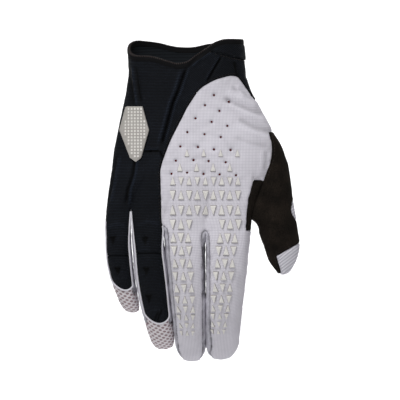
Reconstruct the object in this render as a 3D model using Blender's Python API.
"""Motocross glove for the right hand, filled out as if it were worn.

The fingers point down (-Z), the back of the hand faces -Y and the thumb lies at +X.
The origin is the middle of the cuff mouth, where the wrist goes in.

One closed skin is laid out as rings of points: down the hand, then down each finger, with the
thumb growing out of a hole in the side. The seams are cut into it, and every panel is then lifted
off it as a cloth wall of its own.
"""
import math
from collections import namedtuple

import bmesh
import bpy
import numpy as np
from mathutils import Vector
from mathutils.bvhtree import BVHTree

# Driving sizes, in metres
PALM_WIDTH = 0.0985
PALM_DEPTH = 0.0440
HAND_LENGTH = 0.1140
RIM_HEIGHT = 0.0080
LITTLE_LENGTH = 0.0627
RING_LENGTH = 0.0850
MIDDLE_LENGTH = 0.0858
INDEX_LENGTH = 0.0840
FINGER_DEPTH = 0.0255
FINGER_CURL = 0.0360
FINGER_GAP = 0.0012
THUMB_LENGTH = 0.0663
THUMB_WIDTH = 0.0287
THUMB_DEPTH = 0.0245
THUMB_REACH = 0.0170
THUMB_BACKSET = 0.0060
WALL = 0.0014
SEAM_GAP = 0.0004
BINDING_WIDTH = 0.0024
BINDING_PROUD = 0.0004
FLAP_PROUD = 0.0007
BADGE_LENGTH = 0.0370
BADGE_WIDTH = 0.0190
BADGE_THICK = 0.0018
STUD_WIDTH = 0.0041
STUD_HEIGHT = 0.0060
STUD_PROUD = 0.0011
STUD_ROOT = 0.0005
PIERCED_HOLE = 0.0011
MESH_HOLE = 0.0018
DENT_LENGTH = 0.0048
DENT_WIDTH = 0.00384
DENT_DEPTH = 0.0007

# How finely the skin is divided
FINGER_COLUMNS = 5
SIDE_COLUMNS = 4
HAND_ROWS = 15
FINGER_ROWS = 9
THUMB_ROWS = 8
HOLE_TOP_ROW = 8
HOLE_FOOT_ROW = 15
HOLE_FIRST_COLUMN = 1
LIGHT_SIDE_ROWS = 12

ROUNDNESS = 2.4
CORNER_ANGLE = math.radians(38.0)
SNAP = 0.0008
# Shares of a finger, of the thumb and of the hand over which one form runs into the next
FINGER_BLEND = 0.30
THUMB_BLEND = 0.45
HAND_BLEND = 0.30
SMOOTHING = 3
# Powers by which the rows of a finger and of the thumb crowd towards the tip
FINGER_CROWDING = 1.25
THUMB_CROWDING = 1.2
# Where a finger's middle line starts: share of PALM_DEPTH behind the middle of the hand
FINGER_SETBACK = -0.04
# Sag of the web between two fingers, share of HAND_LENGTH
WEB_SAG = 0.02
# Where a seam doubles back at a crotch, both panels stand this many half gaps off it
SLIT_COSINE = 0.5
SLIT_STRETCH = 3.5
# At any other corner the panels stand off by one half gap, stretched to keep the gap's width
CORNER_PULL = 0.7
CORNER_STRETCH = 1.5
STRETCH_LIMIT = 1.9
# Step for the slope of a field, the least slope that counts, and halvings of an edge to find a seam
FIELD_STEP = 1e-5
FIELD_SLOPE = 0.2
SEAM_HALVINGS = 24
# Limits of the faces' directions that count as a finger's front and as the thumb's side
FRONT_FACING = -0.2
TIP_FACING = -0.97
SIDE_FACING = 0.1
SHARP_ANGLE = math.radians(35.0)


class Table:
    """Rows of numbers under named columns, with a smooth curve through each column."""

    def __init__(self, columns, rows):
        self.places = [row[0] for row in rows]
        self.values = dict(zip(columns.split(), zip(*rows)))
        self.slopes = {name: np.gradient(values, self.places)
                       for name, values in self.values.items()}

    def at(self, name, place):
        """The value of a column at one place of the first column."""
        values = self.values[name]
        slopes = self.slopes[name]
        place = min(max(place, self.places[0]), self.places[-1])
        row = int(np.searchsorted(self.places, place, side="right")) - 1
        row = min(row, len(self.places) - 2)
        span = self.places[row + 1] - self.places[row]
        part = (place - self.places[row]) / span
        start = values[row] + span * slopes[row] * part
        end = values[row + 1] - span * slopes[row + 1] * (1.0 - part)
        blend = smooth_step(part)
        return float(start * (1.0 - blend) + end * blend)


def smooth_step(value):
    """A ramp from 0 to 1 with level ends."""
    value = min(max(value, 0.0), 1.0)
    return value * value * (3.0 - 2.0 * value)


# Sections of the hand. along: share of HAND_LENGTH below the mouth. left, right: shares of
# PALM_WIDTH from the middle. front, back: shares of PALM_DEPTH.
HAND_SECTIONS = Table("along left right front back", (
    (-0.10, -0.420, 0.360, 0.60, 0.57),
    (0.00, -0.425, 0.370, 0.59, 0.56),
    (0.10, -0.422, 0.384, 0.56, 0.52),
    (0.21, -0.432, 0.408, 0.52, 0.49),
    (0.29, -0.448, 0.455, 0.49, 0.49),
    (0.40, -0.477, 0.524, 0.46, 0.50),
    (0.49, -0.498, 0.570, 0.45, 0.52),
    (0.59, -0.519, 0.586, 0.44, 0.53),
    (0.69, -0.533, 0.556, 0.43, 0.52),
    (0.81, -0.553, 0.497, 0.41, 0.46),
    (0.93, -0.568, 0.440, 0.38, 0.36),
    (1.06, -0.578, 0.414, 0.35, 0.28),
))

# Where the fingers part. across: share of PALM_WIDTH from the middle. along: share of HAND_LENGTH.
# front, back: how far the crotch stands from the middle, shares of PALM_DEPTH.
Crotch = namedtuple("Crotch", "across along front back")
CROTCHES = tuple(Crotch(*row) for row in (
    (-0.576, 1.000, 0.21, 0.17),
    (-0.401, 0.924, 0.20, 0.14),
    (-0.180, 1.039, 0.20, 0.13),
    (0.105, 1.051, 0.20, 0.13),
    (0.414, 1.047, 0.23, 0.18),
))

# Height of the mouth's edge, shares of RIM_HEIGHT, against the share across from little finger side
FRONT_RIM = Table("across height", (
    (0.00, -0.45), (0.17, -0.58), (0.32, -0.95), (0.45, -1.07),
    (0.61, -0.40), (0.72, 0.16), (0.86, 0.80), (1.00, 0.96),
))
BACK_RIM = Table("across height", (
    (0.00, 0.97), (0.20, 0.80), (0.45, 0.42), (0.75, 0.70), (1.00, 0.97),
))

# Each finger. length in metres. lean: sideways shift of the tip, share of the length. power: how
# late along the finger the lean comes. curl: share of FINGER_CURL. depth: share of FINGER_DEPTH.
# narrowing: how much of the taper the width takes. swell: how much wider the middle is, share.
Finger = namedtuple("Finger", "length lean power curl depth narrowing swell")
LITTLE = Finger(LITTLE_LENGTH, 0.143, 2.7, 0.70, 0.78, 0.66, 0.16)
RING = Finger(RING_LENGTH, 0.128, 1.6, 0.95, 0.90, 0.62, 0.12)
MIDDLE = Finger(MIDDLE_LENGTH, 0.050, 1.1, 1.04, 1.00, 1.00, -0.05)
INDEX = Finger(INDEX_LENGTH, -0.046, 1.3, 0.96, 1.00, 1.00, -0.02)
FINGERS = (LITTLE, RING, MIDDLE, INDEX)
FINGER_TAPER = Table("along width depth", (
    (0.00, 1.00, 1.00), (0.20, 0.965, 0.98), (0.42, 0.905, 0.93), (0.66, 0.81, 0.86),
    (0.85, 0.73, 0.74), (0.94, 0.61, 0.58), (1.00, 0.40, 0.34),
))
# Sections of the thumb, which turn from the hole in the hand's side to the thumb's own line.
# out: share of THUMB_REACH. down: share of THUMB_LENGTH. width, depth: shares of the thumb's own.
# turn: degrees between the section and the upright.
THUMB_SHAPE = Table("along out down width depth turn", (
    (0.00, 0.00, 0.000, 1.96, 1.02, 13.0), (0.15, 0.36, 0.103, 1.90, 1.04, 18.5),
    (0.30, 0.52, 0.222, 1.78, 1.04, 22.2), (0.45, 0.67, 0.389, 1.49, 1.02, 27.8),
    (0.60, 0.78, 0.540, 1.20, 0.97, 35.2), (0.75, 0.91, 0.700, 0.94, 0.86, 50.7),
    (0.90, 1.00, 0.869, 0.66, 0.62, 70.0), (1.00, 0.98, 0.985, 0.32, 0.32, 78.0),
))

# Outline of the light panel on the back of the hand: across shares of PALM_WIDTH, along shares of
# HAND_LENGTH
LIGHT_PANEL = (
    # across, along
    (0.283, 0.141), (0.325, 0.147), (0.340, 0.160), (0.449, 0.294), (0.700, 0.420),
    (0.700, 1.300), (-0.180, 1.300), (-0.180, 1.039), (-0.195, 0.985), (-0.199, 0.818),
    (-0.204, 0.712), (-0.197, 0.671), (-0.173, 0.609), (-0.136, 0.527), (-0.088, 0.444),
    (-0.057, 0.394), (-0.027, 0.341), (0.014, 0.285), (0.068, 0.218), (0.170, 0.168),
)
# Outline of the overlapping band at the thumb side of the cuff, in the same shares
CUFF_FLAP = (
    # across, along
    (0.115, -0.12), (0.130, -0.01), (0.150, 0.004), (0.390, 0.053), (0.60, 0.06), (0.60, -0.20),
    (0.115, -0.20),
)
CUFF_SEAM_ALONG = 0.235
# Ends of the dark finger panels: shares of each finger's length and of its half width
FINGER_SEAM = (0.43, 0.27)
TONGUE_END = (0.80, 0.83)
TONGUE_START = 0.30
TONGUE_ROUND = 0.16
TONGUE_WIDTH = 0.98
TIP_SIDE = 0.80
TIP_BULGE = 0.08
THUMB_TIP_ALONG = 0.83
# Light patch on the thumb's outer side: height as a share of HAND_LENGTH, half height and half
# depth as shares of THUMB_WIDTH, and its middle behind the thumb's front as a share of THUMB_DEPTH
THUMB_PATCH = (0.930, 0.30, 0.36, 0.18)
THUMB_SIDE_ACROSS = 0.60

# Rows of raised rubber triangles on the back of the hand: columns across as shares of PALM_WIDTH
STUD_FIELD = (
    # along, first column, column pitch, columns, first points up, size
    (0.596, -0.0204, 0.1138, 4, 1, 0.80),
    (0.680, -0.0680, 0.1122, 4, 1, 0.90),
    (0.759, -0.1156, 0.0549, 9, 1, 0.92),
    (0.841, -0.1156, 0.0549, 9, 0, 1.05),
    (0.929, -0.1156, 0.0549, 9, 1, 1.10),
    (1.012, -0.1156, 0.0549, 3, 0, 1.10),
    (1.012, 0.2177, 0.0549, 3, 0, 1.10),
)
# Rows down the middle and index fingers, the drop as a share of the finger's length
STUD_FINGER_ROWS = (
    # along, size
    (0.06, 1.10), (0.16, 1.08), (0.26, 1.05), (0.36, 1.03), (0.455, 1.00), (0.545, 0.95),
    (0.620, 0.85), (0.685, 0.75), (0.750, 0.70), (0.810, 0.60),
)
STUD_FINGER_PITCH = 0.0495
# Below this much less than full size the triangles also stand closer together
STUD_PITCH_EASE = 0.15
# Pierced holes between and above the triangles
HOLE_FIELD = (
    # along, first column, column pitch, columns
    (0.275, 0.163, 0.102, 2), (0.335, 0.102, 0.098, 2), (0.410, 0.037, 0.108, 3),
    (0.480, -0.018, 0.114, 3), (0.560, -0.065, 0.1139, 4), (0.645, -0.095, 0.1125, 4),
    (0.718, -0.125, 0.1094, 5),
)
# Pressed triangular dents in the dark finger panels: finger, share of its length, share across
FINGER_DENTS = (
    # finger, along, across, size
    (0, 0.26, -0.05, 1.0), (0, 0.58, -0.10, 1.0), (1, 0.16, 0.05, 0.95), (1, 0.42, -0.02, 1.1),
    (1, 0.64, -0.05, 1.1),
)
FINGER_PANELS = ("finger_black_little", "finger_black_ring")
# Size of a triangle's top and of a dent's mouth, as shares of the foot
STUD_TAPER = 0.78
DENT_FLARE = 1.4
STUD_SHIFT = ((-0.028, -0.018), (0.000, -0.037))
HOLE_CORNERS = 4
MESH_ROWS = 3
MESH_FIRST = 0.060
MESH_PITCH = 0.034
MESH_STEP = 0.125
BADGE_ACROSS = -0.372
BADGE_ALONG = 0.485
# Outline of the pad as shares of its half width and half length
BADGE_OUTLINE = (
    # across, along
    (-0.55, -1.00), (0.55, -1.00), (1.00, -0.15), (0.45, 0.85), (0.10, 1.00), (-0.30, 0.85),
    (-1.00, -0.15),
)

LIGHT_KNIT = (0.68, 0.67, 0.73, 1.0)
BLACK_RIB = (0.010, 0.013, 0.017, 1.0)
BLACK_SUEDE = (0.008, 0.007, 0.006, 1.0)
OFF_WHITE_RUBBER = (0.72, 0.69, 0.65, 1.0)
DARK_KNIT = (0.012, 0.013, 0.015, 1.0)
BROWN_STITCH = (0.060, 0.040, 0.036, 1.0)
PANEL_FINISH = {
    "back_black": (BLACK_RIB, 0.75), "back_white": (LIGHT_KNIT, 0.80),
    "finger_black_little": (BLACK_RIB, 0.75), "finger_black_ring": (BLACK_RIB, 0.75),
    "finger_mesh_little": (LIGHT_KNIT, 0.85), "finger_mesh_ring": (LIGHT_KNIT, 0.85),
    "fourchette_little_ring": (LIGHT_KNIT, 0.85), "fourchette_ring_middle": (LIGHT_KNIT, 0.85),
    "fourchette_middle_index": (LIGHT_KNIT, 0.85), "palm_panel": (BLACK_SUEDE, 0.95),
    "thumb_wrap": (BLACK_SUEDE, 0.95), "thumb_tip": (LIGHT_KNIT, 0.85),
    "thumb_back": (LIGHT_KNIT, 0.85), "cuff_palm": (DARK_KNIT, 0.90),
    "cuff_flap": (BLACK_RIB, 0.70), "cuff_binding": (BROWN_STITCH, 0.80),
    "badge_pad": (OFF_WHITE_RUBBER, 0.50),
}
PANELS = tuple(PANEL_FINISH)
# How far a panel's outer and inner sides stand off the skin, where they are not the cloth's own
LAYERS = {
    "cuff_flap": (FLAP_PROUD, -WALL), "cuff_binding": (BINDING_PROUD, -WALL),
    "badge_pad": (SEAM_GAP + BADGE_THICK, SEAM_GAP),
}
FOURCHETTES = ("fourchette_little_ring", "fourchette_ring_middle", "fourchette_middle_index")

DORSAL_COUNT = 4 * FINGER_COLUMNS
HOLE_COLUMNS = SIDE_COLUMNS - HOLE_FIRST_COLUMN
RING_COUNT = 2 * DORSAL_COUNT + 2 * SIDE_COLUMNS
CORNER_WIDTH = math.cos(CORNER_ANGLE) ** (2.0 / ROUNDNESS)


def across_hand(share):
    """A place across the hand."""
    return share * PALM_WIDTH


def along_hand(share):
    """A height along the hand."""
    return -share * HAND_LENGTH


def superellipse_height(share):
    """Height of a unit superellipse at a share of its half width."""
    return (1.0 - min(abs(share), 1.0) ** ROUNDNESS) ** (1.0 / ROUNDNESS)


def side_point(turn):
    """A point of the unit superellipse on the side arc; turn runs from 1 (front) to -1 (back)."""
    angle = turn * CORNER_ANGLE
    out = math.cos(angle) ** (2.0 / ROUNDNESS)
    up = math.copysign(abs(math.sin(angle)) ** (2.0 / ROUNDNESS), angle)
    return out, up


def ring_place(index):
    """Which stretch of the hand's ring a point is on, and how far along that stretch."""
    if index <= DORSAL_COUNT:
        return "front", index / FINGER_COLUMNS
    index -= DORSAL_COUNT
    if index < SIDE_COLUMNS:
        return "thumb_side", index / SIDE_COLUMNS
    index -= SIDE_COLUMNS
    if index <= DORSAL_COUNT:
        return "back", 4.0 - index / FINGER_COLUMNS
    return "little_side", (index - DORSAL_COUNT) / SIDE_COLUMNS


def crotch_value(name, place):
    """A column of the crotch table between two crotches."""
    values = [getattr(crotch, name) for crotch in CROTCHES]
    return float(np.interp(place, range(len(values)), values))


def crotch_span(finger):
    """Distance between the crotches on both sides of a finger, a share of PALM_WIDTH."""
    return CROTCHES[finger + 1].across - CROTCHES[finger].across


FINGER_CORNERS = tuple(0.5 * (1.0 - CORNER_WIDTH) * crotch_span(finger) for finger in (0, 3))
FRONT_EDGES = (
    CROTCHES[0].across + FINGER_CORNERS[0], *(crotch.across for crotch in CROTCHES[1:4]),
    CROTCHES[4].across - FINGER_CORNERS[1],
)


def front_across(place):
    """Place across the back of the hand, a share of PALM_WIDTH, of a place between crotches."""
    return float(np.interp(place, range(len(FRONT_EDGES)), FRONT_EDGES))


def crotch_share(place):
    """Share across the back of the hand, from corner to corner, of a place between crotches."""
    return (front_across(place) - FRONT_EDGES[0]) / (FRONT_EDGES[-1] - FRONT_EDGES[0])


def rim_height(stretch, place):
    """Height of the mouth's edge above the origin."""
    front = FRONT_RIM.values["height"]
    back = BACK_RIM.values["height"]
    if stretch == "front":
        share = FRONT_RIM.at("height", crotch_share(place))
    elif stretch == "back":
        share = BACK_RIM.at("height", crotch_share(place))
    elif stretch == "thumb_side":
        share = front[-1] + place * (back[-1] - front[-1])
    else:
        share = back[0] + smooth_step(place) * (front[0] - back[0])
    return share * RIM_HEIGHT


def web_height(stretch, place):
    """Height of the line where the hand ends and the fingers start."""
    if stretch == "thumb_side":
        place = 4.0
    elif stretch == "little_side":
        place = 0.0
    return along_hand(crotch_value("along", place))


def section_point(stretch, place, height):
    """A point of the hand's plain rounded section at one height."""
    along = -height / HAND_LENGTH
    left = across_hand(HAND_SECTIONS.at("left", along))
    right = across_hand(HAND_SECTIONS.at("right", along))
    front = PALM_DEPTH * HAND_SECTIONS.at("front", along)
    back = PALM_DEPTH * HAND_SECTIONS.at("back", along)
    middle = 0.5 * (left + right)
    half = 0.5 * (right - left)
    if stretch in ("front", "back"):
        share = CORNER_WIDTH * (2.0 * crotch_share(place) - 1.0)
        rise = superellipse_height(share)
        depth = -front * rise if stretch == "front" else back * rise
        return np.array((middle + share * half, depth, height))
    turn = 1.0 - 2.0 * place if stretch == "thumb_side" else 2.0 * place - 1.0
    out, up = side_point(turn)
    side = 1.0 if stretch == "thumb_side" else -1.0
    depth = -front * up if up > 0.0 else -back * up
    return np.array((middle + side * out * half, depth, height))


def finger_middle(finger):
    """Where a finger's middle line starts."""
    across = crotch_value("across", finger + 0.5)
    along = crotch_value("along", finger + 0.5)
    return np.array((across_hand(across), FINGER_SETBACK * PALM_DEPTH, along_hand(along)))


def finger_across(finger, along):
    """Place across the hand of a finger's middle line."""
    shape = FINGERS[finger]
    return finger_middle(finger)[0] + shape.lean * shape.length * along ** shape.power


def finger_width(finger, along):
    """A finger's width at one place, as a share of its width at the crotch."""
    shape = FINGERS[finger]
    narrowed = 1.0 - shape.narrowing * (1.0 - FINGER_TAPER.at("width", along))
    return narrowed + shape.swell * math.sin(math.pi * along) ** 2


def finger_section(finger, out, up, along):
    """A point of a finger's section: out and up are shares of its half width and half depth."""
    shape = FINGERS[finger]
    start = finger_middle(finger)
    span = across_hand(crotch_span(finger)) - FINGER_GAP
    half_width = 0.5 * span * finger_width(finger, along)
    half_depth = 0.5 * FINGER_DEPTH * shape.depth * FINGER_TAPER.at("depth", along)
    bend = FINGER_CURL * shape.curl
    tilt = math.atan(2.0 * bend * along / shape.length)
    centre = np.array((finger_across(finger, along), start[1] + bend * along * along,
                       start[2] - shape.length * along))
    across = np.array((1.0, 0.0, 0.0))
    towards_back = np.array((0.0, -math.cos(tilt), -math.sin(tilt)))
    return centre + across * out * half_width + towards_back * up * half_depth


def web_point(stretch, place):
    """A point of the line where the hand ends and the fingers start."""
    finger = min(int(place), 3)
    height = web_height(stretch, place)
    if stretch in ("front", "back"):
        share = 2.0 * (place - finger) - 1.0
        side = -1.0 if stretch == "front" else 1.0
        depth = PALM_DEPTH * crotch_value(stretch, place)
        crown = 0.5 * FINGER_DEPTH * FINGERS[finger].depth - depth
        depth += max(crown, 0.0) * superellipse_height(share)
        middle = finger_middle(finger)[1]
        return np.array((across_hand(front_across(place)), middle + side * depth, height))
    edge = 4 if stretch == "thumb_side" else 0
    turn = 1.0 - 2.0 * place if stretch == "thumb_side" else 2.0 * place - 1.0
    out, up = side_point(turn)
    corner_out, corner_up = side_point(1.0)
    side = 1.0 if edge == 4 else -1.0
    inset = FINGER_CORNERS[1 if edge == 4 else 0] * (1.0 - out) / (1.0 - corner_out)
    reach = CROTCHES[edge].front if up > 0.0 else CROTCHES[edge].back
    depth = PALM_DEPTH * reach * abs(up) / corner_up
    middle = finger_middle(0 if edge == 0 else 3)[1]
    across = across_hand(CROTCHES[edge].across - side * inset)
    return np.array((across, middle - math.copysign(depth, up), height))


def hand_point(index, share):
    """A point of the hand's skin: ring index and share of the way from mouth to fingers."""
    stretch, place = ring_place(index)
    top = rim_height(stretch, place)
    height = top + share * (web_height(stretch, place) - top)
    web = web_point(stretch, place)
    blend = smooth_step((share - 1.0 + HAND_BLEND) / HAND_BLEND)
    plain = section_point(stretch, place, height)
    return plain + blend * (web - section_point(stretch, place, web[2]))


def web_line(crotch, share):
    """A point of the web between two fingers, share 0 at the back of the hand, 1 at the palm."""
    start = web_point("front", float(crotch))
    end = web_point("back", float(crotch))
    point = start + share * (end - start)
    point[2] -= WEB_SAG * HAND_LENGTH * math.sin(math.pi * share)
    return point


def finger_ring(index):
    """Shares out and up of a point round a finger's section."""
    if index <= FINGER_COLUMNS:
        out = CORNER_WIDTH * (2.0 * index / FINGER_COLUMNS - 1.0)
        return out, superellipse_height(out)
    index -= FINGER_COLUMNS
    if index < SIDE_COLUMNS:
        return side_point(1.0 - 2.0 * index / SIDE_COLUMNS)
    index -= SIDE_COLUMNS
    if index <= FINGER_COLUMNS:
        out = CORNER_WIDTH * (1.0 - 2.0 * index / FINGER_COLUMNS)
        return out, -superellipse_height(out)
    index -= FINGER_COLUMNS
    out, up = side_point(2.0 * index / SIDE_COLUMNS - 1.0)
    return -out, up


def cap_grid(ring, start, width, height):
    """Rows of points that close a ring of four sides, from its front side to its back side.

    ring is read from start: width steps along the front, height down the far side, then back.
    """
    count = len(ring)
    front = [ring[(start + step) % count] for step in range(width + 1)]
    far = [ring[(start + width + step) % count] for step in range(height + 1)]
    back = [ring[(start + 2 * width + height - step) % count] for step in range(width + 1)]
    near = [ring[(start - step) % count] for step in range(height + 1)]
    rows = []
    for row in range(height + 1):
        down = row / height
        line = []
        for column in range(width + 1):
            right = column / width
            ruled = (1 - down) * front[column] + down * back[column]
            crossed = (1 - right) * near[row] + right * far[row]
            corners = ((1 - down) * ((1 - right) * front[0] + right * front[-1])
                       + down * ((1 - right) * back[0] + right * back[-1]))
            line.append(ruled + crossed - corners)
        rows.append(line)
    return rows


class Skin:
    """The glove's outer surface, as quads that know which panel they belong to."""

    def __init__(self):
        self.mesh = bmesh.new()
        self.panel = self.mesh.faces.layers.int.new("panel")
        self.hand_rows = self.row_shares()
        self.soft = []
        self.lay_hand()
        self.lay_fingers()
        self.lay_thumb()
        for _ in range(SMOOTHING):
            bmesh.ops.smooth_vert(self.mesh, verts=self.soft, factor=0.5, use_axis_x=True,
                                  use_axis_y=True, use_axis_z=True)
        bmesh.ops.recalc_face_normals(self.mesh, faces=self.mesh.faces[:])

    @staticmethod
    def row_shares():
        """Shares of the way down the hand of its rings; the first band is the binding."""
        first = BINDING_WIDTH / HAND_LENGTH
        return [0.0] + [first + (1.0 - first) * row / HAND_ROWS for row in range(HAND_ROWS + 1)]

    def add_point(self, place):
        """Add one vertex."""
        return self.mesh.verts.new(place)

    def add_face(self, corners, panel):
        """Add one face to a panel."""
        face = self.mesh.faces.new(corners)
        face[self.panel] = PANELS.index(panel)
        return face

    def lay_hand(self):
        """Rings from the mouth to the line of the crotches, with a hole for the thumb."""
        rings = []
        for share in self.hand_rows:
            rings.append([self.add_point(hand_point(index, share)) for index in range(RING_COUNT)])
        side_start = DORSAL_COUNT + HOLE_FIRST_COLUMN
        side_end = DORSAL_COUNT + SIDE_COLUMNS
        for row in range(len(rings) - 1):
            for index in range(RING_COUNT):
                in_side = side_start <= index < side_end
                if in_side and HOLE_TOP_ROW <= row < HOLE_FOOT_ROW:
                    continue
                following = (index + 1) % RING_COUNT
                corners = (rings[row][index], rings[row][following],
                           rings[row + 1][following], rings[row + 1][index])
                self.add_face(corners[::-1], self.hand_panel(row, index))
        for index in range(side_start + 1, side_end):
            for row in range(HOLE_TOP_ROW + 1, HOLE_FOOT_ROW):
                self.mesh.verts.remove(rings[row][index])
        self.rings = rings

    def hand_panel(self, row, index):
        """The panel that a quad of the hand belongs to before the seams are cut."""
        half_side = SIDE_COLUMNS // 2
        if row == 0:
            return "cuff_binding"
        if index < DORSAL_COUNT:
            return "back_black"
        if index < DORSAL_COUNT + half_side + 1 and row < HOLE_TOP_ROW:
            return "back_black"
        if index == DORSAL_COUNT and row < LIGHT_SIDE_ROWS:
            return "back_black"
        if index >= RING_COUNT - half_side:
            return "back_black"
        return "palm_panel"

    def lay_fingers(self):
        """Four tubes that start on the crotch line and end in caps."""
        last = self.rings[-1]
        back_start = DORSAL_COUNT + SIDE_COLUMNS
        webs = []
        for crotch in (1, 2, 3):
            webs.append([self.add_point(web_line(crotch, step / SIDE_COLUMNS))
                         for step in range(1, SIDE_COLUMNS)])
        for finger in range(4):
            front = [last[finger * FINGER_COLUMNS + step] for step in range(FINGER_COLUMNS + 1)]
            back_first = back_start + (3 - finger) * FINGER_COLUMNS
            back = [last[back_first + step] for step in range(FINGER_COLUMNS + 1)]
            if finger == 3:
                right = [last[DORSAL_COUNT + step] for step in range(1, SIDE_COLUMNS)]
            else:
                right = webs[finger]
            if finger == 0:
                left = [last[RING_COUNT - SIDE_COLUMNS + step] for step in range(1, SIDE_COLUMNS)]
            else:
                left = webs[finger - 1][::-1]
            self.lay_tube(finger, front + right + back + left)

    def lay_tube(self, finger, base):
        """One finger from its base ring to its cap."""
        count = len(base)
        starts = [np.array(vertex.co) for vertex in base]
        previous = base
        for row in range(1, FINGER_ROWS + 1):
            along = 1.0 - (1.0 - row / FINGER_ROWS) ** FINGER_CROWDING
            hold = 1.0 - smooth_step(along / FINGER_BLEND)
            ring = []
            for index in range(count):
                out, up = finger_ring(index)
                shift = starts[index] - finger_section(finger, out, up, 0.0)
                place = finger_section(finger, out, up, along) + hold * shift
                ring.append(self.add_point(place))
            for index in range(count):
                following = (index + 1) % count
                corners = (previous[index], previous[following], ring[following], ring[index])
                self.add_face(corners[::-1], self.finger_panel(finger, index, along))
            previous = ring
        panels = [self.finger_panel(finger, 0, 1.0)] * (SIDE_COLUMNS // 2)
        panels += ["palm_panel"] * (SIDE_COLUMNS - SIDE_COLUMNS // 2)
        bulge = TIP_BULGE * FINGER_DEPTH
        self.close_tube(previous, 0, FINGER_COLUMNS, SIDE_COLUMNS, panels, bulge)

    def finger_panel(self, finger, index, along):
        """The panel that a quad of a finger belongs to before the seams are cut."""
        right_side = FINGER_COLUMNS <= index < FINGER_COLUMNS + SIDE_COLUMNS
        left_side = index >= 2 * FINGER_COLUMNS + SIDE_COLUMNS
        front_half = (index < FINGER_COLUMNS + SIDE_COLUMNS // 2
                      or index >= 2 * FINGER_COLUMNS + SIDE_COLUMNS + SIDE_COLUMNS // 2)
        mesh_end = ("finger_mesh_little", "finger_mesh_ring", "back_white", "back_white")[finger]
        if index < FINGER_COLUMNS:
            return mesh_end
        outer = (right_side and finger == 3) or (left_side and finger == 0)
        if outer:
            return mesh_end if front_half else "palm_panel"
        if right_side or left_side:
            if finger < 2 and along > TIP_SIDE and front_half:
                return mesh_end
            return FOURCHETTES[finger if right_side else finger - 1]
        return "palm_panel"

    def close_tube(self, ring, start, width, height, panels, bulge):
        """Close the end of a tube with a grid whose rows go to the named panels."""
        places = [np.array(vertex.co) for vertex in ring]
        rows = cap_grid(places, start, width, height)
        count = len(ring)
        centre = sum(places) / count
        normal = np.cross(places[(start + width) % count] - places[start],
                          places[start - height] - places[start])
        normal /= np.linalg.norm(normal)
        if normal[2] > 0.0:
            normal = -normal
        reach = max(float(np.linalg.norm(place - centre)) for place in places)
        grid = []
        for row in range(height + 1):
            line = []
            for column in range(width + 1):
                if row == 0:
                    line.append(ring[(start + column) % count])
                elif row == height:
                    line.append(ring[(start + 2 * width + height - column) % count])
                elif column == 0:
                    line.append(ring[(start - row) % count])
                elif column == width:
                    line.append(ring[(start + width + row) % count])
                else:
                    place = rows[row][column]
                    near = 1.0 - (float(np.linalg.norm(place - centre)) / reach) ** 2
                    line.append(self.add_point(place + normal * bulge * near))
            grid.append(line)
        for row in range(height):
            for column in range(width):
                corners = (grid[row][column], grid[row][column + 1],
                           grid[row + 1][column + 1], grid[row + 1][column])
                self.add_face(corners[::-1], panels[row])

    def thumb_loop(self):
        """The edge of the thumb hole: top, front, foot and back, in that order."""
        first = DORSAL_COUNT + HOLE_FIRST_COLUMN
        last = DORSAL_COUNT + SIDE_COLUMNS
        rows = range(HOLE_TOP_ROW, HOLE_FOOT_ROW)
        top = [self.rings[HOLE_TOP_ROW][index] for index in range(last, first, -1)]
        front = [self.rings[row][first] for row in rows]
        foot = [self.rings[HOLE_FOOT_ROW][index] for index in range(first, last)]
        back = [self.rings[row][last] for row in range(HOLE_FOOT_ROW, HOLE_TOP_ROW, -1)]
        return top + front + foot + back

    def lay_thumb(self):
        """The thumb's tube, from the hole in the hand's side to its cap."""
        base = self.thumb_loop()
        height = HOLE_FOOT_ROW - HOLE_TOP_ROW
        count = len(base)
        starts = [np.array(vertex.co) for vertex in base]
        centre = sum(starts) / count
        previous = base
        self.soft += base
        for row in range(1, THUMB_ROWS + 1):
            along = 1.0 - (1.0 - row / THUMB_ROWS) ** THUMB_CROWDING
            hold = 1.0 - smooth_step(along / THUMB_BLEND)
            ring = []
            for index in range(count):
                angle = thumb_angle(index, height)
                shift = starts[index] - thumb_section(centre, angle, 0.0)
                place = thumb_section(centre, angle, along) + hold * shift
                ring.append(self.add_point(place))
            if row <= 2:
                self.soft += ring
            for index in range(count):
                following = (index + 1) % count
                corners = (previous[index], previous[following], ring[following], ring[index])
                self.add_face(corners[::-1], self.thumb_panel(index, height, along))
            previous = ring
        panels = ["thumb_tip"] * (height - 1) + ["thumb_wrap"]
        self.close_tube(previous, 0, HOLE_COLUMNS, height, panels, TIP_BULGE * THUMB_DEPTH)

    def thumb_panel(self, index, height, along):
        """The panel that a quad of the thumb belongs to."""
        on_top = index < HOLE_COLUMNS
        on_front = HOLE_COLUMNS <= index < HOLE_COLUMNS + height - 1
        if along > THUMB_TIP_ALONG and (on_top or on_front):
            return "thumb_tip"
        return "thumb_wrap"


def thumb_angle(index, height):
    """Angle round the thumb of a point of its ring: 0 outward, a quarter turn at the front."""
    quarter = math.pi / 2.0
    if index < HOLE_COLUMNS:
        return quarter * (index / HOLE_COLUMNS - 0.5)
    index -= HOLE_COLUMNS
    if index < height:
        return quarter * (index / height + 0.5)
    index -= height
    if index < HOLE_COLUMNS:
        return quarter * (index / HOLE_COLUMNS + 1.5)
    return quarter * ((index - HOLE_COLUMNS) / height + 2.5)


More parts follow.
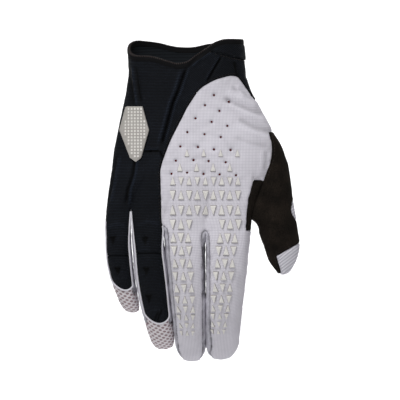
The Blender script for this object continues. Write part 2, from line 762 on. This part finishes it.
def thumb_section(base, angle, along):
    """A point of the thumb's section round its own middle line."""
    out = THUMB_REACH * THUMB_SHAPE.at("out", along)
    down = THUMB_LENGTH * THUMB_SHAPE.at("down", along)
    half_width = 0.5 * THUMB_WIDTH * THUMB_SHAPE.at("width", along)
    half_depth = 0.5 * THUMB_DEPTH * THUMB_SHAPE.at("depth", along)
    turn = math.radians(THUMB_SHAPE.at("turn", along))
    centre = base + np.array((out, THUMB_BACKSET * along, -down))
    outward = np.array((math.sin(turn), 0.0, math.cos(turn)))
    forward = np.array((0.0, -1.0, 0.0))
    return (centre + outward * half_width * math.cos(angle)
            + forward * half_depth * math.sin(angle))


def outline_distance(point, outline):
    """Signed distance in the front view from a point to a closed outline, positive inside."""
    x = point[0]
    z = point[2]
    nearest = math.inf
    inside = False
    for first, second in zip(outline, outline[1:] + outline[:1]):
        ax, az = first
        bx, bz = second
        length = (bx - ax) ** 2 + (bz - az) ** 2
        share = min(max(((x - ax) * (bx - ax) + (z - az) * (bz - az)) / length, 0.0), 1.0)
        nearest = min(nearest, math.hypot(ax + share * (bx - ax) - x, az + share * (bz - az) - z))
        if (az > z) != (bz > z) and x < ax + (z - az) / (bz - az) * (bx - ax):
            inside = not inside
    return nearest if inside else -nearest


def hand_outline(shares):
    """An outline of across and along shares as places in the front view."""
    return [(across_hand(across), along_hand(along)) for across, along in shares]


def cut_seam(skin, faces, field, panel):
    """Cut faces along a field's zero line and give what lies where it is positive to a panel."""
    mesh = skin.mesh
    values = {}
    for vertex in {vertex for face in faces for vertex in face.verts}:
        values[vertex] = snapped_value(vertex, field)
    for edge in list({edge for face in faces for edge in face.edges}):
        start, end = edge.verts
        if values[start] * values[end] < 0.0:
            share = crossing(start.co, end.co, field)
            _, added = bmesh.utils.edge_split(edge, start, share)
            values[added] = 0.0
    for face in list(faces):
        split_face(mesh, face, values, faces)
    for face in faces:
        if sum(values[vertex] for vertex in face.verts) > 0.0:
            face[skin.panel] = PANELS.index(panel)


AXES = (Vector((1.0, 0.0, 0.0)), Vector((0.0, 1.0, 0.0)), Vector((0.0, 0.0, 1.0)))


def snapped_value(vertex, field):
    """The field at a vertex, which is moved onto the zero line where it almost lies on it."""
    value = field(vertex.co)
    if abs(value) >= SNAP:
        return value
    rises = [field(vertex.co + FIELD_STEP * axis) - value for axis in AXES]
    slope = Vector(rises) / FIELD_STEP
    slope -= vertex.normal * slope.dot(vertex.normal)
    if slope.length_squared > FIELD_SLOPE:
        vertex.co -= slope * value / slope.length_squared
    return 0.0


def crossing(start, end, field):
    """Share of the way along an edge at which the field is zero."""
    low = 0.0
    high = 1.0
    sign = field(start)
    for _ in range(SEAM_HALVINGS):
        middle = 0.5 * (low + high)
        if field(start.lerp(end, middle)) * sign > 0.0:
            low = middle
        else:
            high = middle
    return 0.5 * (low + high)


def split_face(mesh, face, values, faces):
    """Split one face between two of its corners on the zero line, if it has both sides."""
    around = [values[vertex] for vertex in face.verts]
    if min(around) >= 0.0 or max(around) <= 0.0:
        return
    zeros = [index for index, value in enumerate(around) if value == 0.0]
    corners = list(face.verts)
    for first in zeros:
        for second in zeros:
            between = around[first + 1:second]
            if second - first < 2 or not between:
                continue
            outside = around[second + 1:] + around[:first]
            if not outside or sum(between) * sum(outside) >= 0.0:
                continue
            added, _ = bmesh.utils.face_split(face, corners[first], corners[second])
            faces.append(added)
            return


def panel_faces(skin, *names):
    """The faces that belong to some panels."""
    wanted = {PANELS.index(name) for name in names}
    return [face for face in skin.mesh.faces if face[skin.panel] in wanted]


def cut_seams(skin):
    """All seams that do not follow the rings."""
    skin.mesh.normal_update()
    light = hand_outline(LIGHT_PANEL)
    cut_seam(skin, panel_faces(skin, "back_black"),
             lambda point: outline_distance(point, light), "back_white")
    flap = hand_outline(CUFF_FLAP)
    cut_seam(skin, panel_faces(skin, "back_black"),
             lambda point: outline_distance(point, flap), "cuff_flap")
    cuff_line = along_hand(CUFF_SEAM_ALONG)
    cut_seam(skin, panel_faces(skin, "palm_panel"),
             lambda point: point.z - cuff_line, "cuff_palm")
    cut_seam(skin, thumb_side_faces(skin), patch_distance, "thumb_back")
    cut_finger_tongue(skin, 0, "finger_mesh_little", "finger_black_little")
    cut_finger_tongue(skin, 1, "finger_mesh_ring", "finger_black_ring")


def thumb_side_faces(skin):
    """The faces on the thumb's outer side."""
    limit = across_hand(THUMB_SIDE_ACROSS)
    return [face for face in panel_faces(skin, "thumb_wrap")
            if face.normal.x > SIDE_FACING and face.calc_center_median().x > limit]


def patch_distance(point):
    """Signed distance, positive inside, to the oval patch on the thumb's outer side."""
    height, half_height, half_depth, middle = THUMB_PATCH
    rise = (point.z - along_hand(height)) / (half_height * THUMB_WIDTH)
    depth = (point.y - middle * THUMB_DEPTH) / (half_depth * THUMB_WIDTH)
    return (1.0 - math.hypot(rise, depth)) * half_depth * THUMB_WIDTH


def tongue_distance(finger):
    """Signed distance, positive inside, to the dark panel's rounded end on a finger."""
    top = finger_middle(finger)[2]
    span = across_hand(crotch_span(finger))

    def distance(point):
        along = (top - point.z) / FINGERS[finger].length
        if along < TONGUE_START:
            return span
        half = TONGUE_WIDTH * 0.5 * span * finger_width(finger, along)
        beside = (point.x - finger_across(finger, along)) / half
        past = (along - (TONGUE_END[finger] - TONGUE_ROUND)) / TONGUE_ROUND
        reach = math.hypot(beside, past) if past > 0.0 else abs(beside)
        return (1.0 - reach) * half

    return distance


def cut_finger_tongue(skin, finger, mesh_panel, dark_panel):
    """Cut the dark panel of a finger, and its cross seam, out of the light finger."""
    faces = [face for face in panel_faces(skin, mesh_panel) if on_finger_front(face)]
    cut_seam(skin, faces, tongue_distance(finger), dark_panel)
    seam = finger_middle(finger)[2] - FINGER_SEAM[finger] * FINGERS[finger].length
    cut_seam(skin, panel_faces(skin, dark_panel), lambda point: point.z - seam, "back_black")


def on_finger_front(face):
    """Whether a face of a finger looks to the front rather than sideways."""
    return face.normal.y < FRONT_FACING and face.normal.z > TIP_FACING


def inward_offset(vertex, face_set):
    """Direction and stretch that move a border vertex into its own panel."""
    pull = Vector()
    borders = []
    for edge in vertex.link_edges:
        inside = [face for face in edge.link_faces if face in face_set]
        if len(inside) != 1:
            continue
        face = inside[0]
        line = (edge.other_vert(vertex).co - vertex.co).normalized()
        inward = face.normal.cross(line)
        if inward.dot(face.calc_center_median() - vertex.co) < 0.0:
            inward.negate()
        pull += inward.normalized()
        borders.append(line)
    if not borders:
        return None
    middle = Vector()
    for face in vertex.link_faces:
        if face in face_set:
            middle += (face.calc_center_median() - vertex.co).normalized()
    if len(borders) == 2 and borders[0].dot(borders[1]) > SLIT_COSINE:
        slit = (borders[0] + borders[1]).normalized()
        if slit.dot(middle) < 0.0:
            slit.negate()
        return slit * SLIT_STRETCH
    if pull.length < CORNER_PULL:
        return middle.normalized() * CORNER_STRETCH
    return pull.normalized() * min(len(borders) / pull.length, STRETCH_LIMIT)


def lift_panel(skin, name):
    """Make one panel of the skin into a closed cloth wall, as a new object."""
    upper, lower = LAYERS.get(name, (0.0, -WALL))
    faces = panel_faces(skin, name)
    face_set = set(faces)
    wall = bmesh.new()
    outer = {}
    inner = {}
    for vertex in {vertex for face in faces for vertex in face.verts}:
        place = vertex.co.copy()
        shift = inward_offset(vertex, face_set)
        if shift is not None:
            place += shift * (0.5 * SEAM_GAP)
        outer[vertex] = wall.verts.new(place + vertex.normal * upper)
        inner[vertex] = wall.verts.new(place + vertex.normal * lower)
    for face in faces:
        wall.faces.new([outer[vertex] for vertex in face.verts])
        wall.faces.new([inner[vertex] for vertex in reversed(face.verts)])
        for loop in face.loops:
            if sum(1 for other in loop.edge.link_faces if other in face_set) == 1:
                close_edge(wall, outer, inner, loop.vert, loop.link_loop_next.vert)
    return finish_object(wall, name)


def close_edge(wall, outer, inner, start, end):
    """Join both sides of a wall along one edge, split the same way from either neighbour."""
    ring = (outer[end], outer[start], inner[start], inner[end])
    if start.index < end.index:
        wall.faces.new((ring[0], ring[1], ring[3]))
        wall.faces.new((ring[1], ring[2], ring[3]))
    else:
        wall.faces.new((ring[0], ring[1], ring[2]))
        wall.faces.new((ring[0], ring[2], ring[3]))


def finish_object(wall, name):
    """Turn a closed mesh into a named object with its own material."""
    data = bpy.data.meshes.new(name)
    wall.to_mesh(data)
    wall.free()
    data.materials.append(make_material(name, *PANEL_FINISH[name]))
    data.shade_smooth()
    data.set_sharp_from_angle(angle=SHARP_ANGLE)
    piece = bpy.data.objects.new(name, data)
    bpy.context.scene.collection.objects.link(piece)
    return piece


def make_material(name, colour, roughness):
    """A plain Principled material."""
    material = bpy.data.materials.new(name)
    material.use_nodes = True
    shader = material.node_tree.nodes["Principled BSDF"]
    shader.inputs["Base Color"].default_value = colour
    shader.inputs["Roughness"].default_value = roughness
    return material


class Surface:
    """The finished skin, to find places on the glove that are given in the front view."""

    def __init__(self, skin):
        self.tree = BVHTree.FromBMesh(skin.mesh)

    def place(self, x, z):
        """The point of the skin seen from the front at one place, and the way it faces.

        Beside the glove it is the skin's nearest point.
        """
        start = Vector((x, -2.0 * PALM_DEPTH, z))
        spot, normal, _, _ = self.tree.ray_cast(start, Vector((0.0, 1.0, 0.0)))
        if spot is None:
            spot, normal, _, _ = self.tree.find_nearest(Vector((x, 0.0, z)))
        return spot, normal

    def frame(self, x, z):
        """A place with its outward, upward and sideways directions."""
        spot, normal = self.place(x, z)
        upward = Vector((0.0, 0.0, 1.0))
        upward = (upward - normal * upward.dot(normal)).normalized()
        return spot, normal, upward, upward.cross(normal)


def add_prism(mesh, frame, outline, low, high, taper=1.0):
    """Add a prism over a flat outline of sideways and upward lengths; the top may be smaller."""
    spot, normal, upward, sideways = frame
    rings = []
    for height, size in ((low, 1.0), (high, taper)):
        rings.append([mesh.verts.new(spot + normal * height + sideways * x * size
                                     + upward * z * size) for x, z in outline])
    count = len(outline)
    for index in range(count):
        following = (index + 1) % count
        mesh.faces.new((rings[0][index], rings[0][following],
                        rings[1][following], rings[1][index]))
    mesh.faces.new(rings[0][::-1])
    mesh.faces.new(rings[1])


def triangle_outline(width, height, points_up):
    """An upright triangle round its middle."""
    tip = 0.5 * height if points_up else -0.5 * height
    side = 0.5 * width
    return [(side, -tip), (0.0, tip), (-side, -tip)]


def round_outline(size, corners):
    """A regular outline of one size across."""
    turns = [2.0 * math.pi * (index + 0.5) / corners for index in range(corners)]
    return [(0.5 * size * math.cos(turn), 0.5 * size * math.sin(turn)) for turn in turns]


def stud_rows():
    """Places, sizes and directions of the raised rubber triangles."""
    for along, first, pitch, count, points_up, size in STUD_FIELD:
        for column in range(count):
            upright = (column % 2 == 0) == bool(points_up) or count == 4
            yield across_hand(first + column * pitch), along_hand(along), size, upright
    for finger, (root_shift, tip_shift) in zip((2, 3), STUD_SHIFT):
        for row, (along, size) in enumerate(STUD_FINGER_ROWS):
            shift = root_shift + along * (tip_shift - root_shift)
            middle = finger_across(finger, along) + across_hand(shift)
            height = finger_middle(finger)[2] - along * FINGERS[finger].length
            pitch = across_hand(STUD_FINGER_PITCH) * min(1.0, size + STUD_PITCH_EASE)
            for column in (-1, 0, 1):
                yield middle + column * pitch, height, size, (row + column) % 2 == 1


def add_studs(surface, panel):
    """Raise the rubber triangles out of the light panel."""
    mesh = bmesh.new()
    for x, z, size, upright in stud_rows():
        outline = triangle_outline(STUD_WIDTH * size, STUD_HEIGHT * size, upright)
        add_prism(mesh, surface.frame(x, z), outline, -STUD_ROOT, STUD_PROUD, STUD_TAPER)
    apply_shape(panel, mesh, "stud_shape", "UNION")


def add_holes(surface, panel):
    """Pierce the rows of small holes through the light panel."""
    mesh = bmesh.new()
    outline = round_outline(PIERCED_HOLE, HOLE_CORNERS)
    for along, first, pitch, count in HOLE_FIELD:
        for column in range(count):
            frame = surface.frame(across_hand(first + column * pitch), along_hand(along))
            add_prism(mesh, frame, outline, -2.0 * WALL, WALL)
    apply_shape(panel, mesh, "hole_shape", "DIFFERENCE")


def add_mesh_holes(surface, panel, finger):
    """Pierce the diamond holes of the open mesh at the end of a finger."""
    mesh = bmesh.new()
    outline = round_outline(MESH_HOLE, HOLE_CORNERS)
    for row in range(MESH_ROWS):
        along = TONGUE_END[finger] + MESH_FIRST + row * MESH_PITCH
        height = finger_middle(finger)[2] - along * FINGERS[finger].length
        for column in range(-1, 2):
            shift = (column + 0.5 * (row % 2) - 0.25) * MESH_STEP * FINGER_DEPTH
            frame = surface.frame(finger_across(finger, along) + shift, height)
            add_prism(mesh, frame, outline, -2.0 * WALL, WALL)
    apply_shape(panel, mesh, "mesh_shape", "DIFFERENCE")


def add_dents(surface, panels):
    """Press the triangular dents into the dark panels of the fingers."""
    for finger, along, across, size in FINGER_DENTS:
        x = finger_across(finger, along) + across * FINGER_DEPTH
        outline = triangle_outline(DENT_WIDTH * size, DENT_LENGTH * size, False)
        mesh = bmesh.new()
        frame = surface.frame(x, finger_middle(finger)[2] - along * FINGERS[finger].length)
        add_prism(mesh, frame, outline, -DENT_DEPTH, DENT_DEPTH, DENT_FLARE)
        own = FINGER_PANELS[finger] if along > FINGER_SEAM[finger] else "back_black"
        apply_shape(panels[own], mesh, "dent_shape", "DIFFERENCE")


def apply_shape(panel, mesh, name, operation):
    """Join or cut a helper shape with a panel by an exact Boolean."""
    data = bpy.data.meshes.new(name)
    bmesh.ops.recalc_face_normals(mesh, faces=mesh.faces[:])
    mesh.to_mesh(data)
    mesh.free()
    helper = bpy.data.objects.new(name, data)
    helper.hide_render = True
    helper.display_type = "WIRE"
    bpy.context.scene.collection.objects.link(helper)
    boolean = panel.modifiers.new(name, "BOOLEAN")
    boolean.object = helper
    boolean.operation = operation
    boolean.solver = "EXACT"


def make_badge(skin):
    """The raised rubber pad: a plain long shield that follows the dark panel under it."""
    outline = hand_outline(
        (BADGE_ACROSS + 0.5 * across * BADGE_WIDTH / PALM_WIDTH,
         BADGE_ALONG + 0.5 * along * BADGE_LENGTH / HAND_LENGTH) for across, along in BADGE_OUTLINE)
    faces = [face for face in panel_faces(skin, "back_black") if face.normal.y < 0.0]
    cut_seam(skin, faces, lambda point: outline_distance(point, outline), "badge_pad")
    bmesh.ops.triangulate(skin.mesh, faces=panel_faces(skin, "badge_pad"))
    skin.mesh.verts.index_update()
    skin.mesh.normal_update()
    return lift_panel(skin, "badge_pad")


def clear_scene():
    """Remove what a new file holds."""
    for thing in list(bpy.data.objects):
        bpy.data.objects.remove(thing)


def main():
    """Build the glove."""
    clear_scene()
    skin = Skin()
    cut_seams(skin)
    bmesh.ops.triangulate(skin.mesh, faces=skin.mesh.faces[:])
    skin.mesh.verts.index_update()
    skin.mesh.normal_update()
    panels = {name: lift_panel(skin, name) for name in PANELS if name != "badge_pad"}
    surface = Surface(skin)
    add_studs(surface, panels["back_white"])
    add_holes(surface, panels["back_white"])
    add_mesh_holes(surface, panels["finger_mesh_little"], 0)
    add_mesh_holes(surface, panels["finger_mesh_ring"], 1)
    add_dents(surface, panels)
    make_badge(skin)


main()
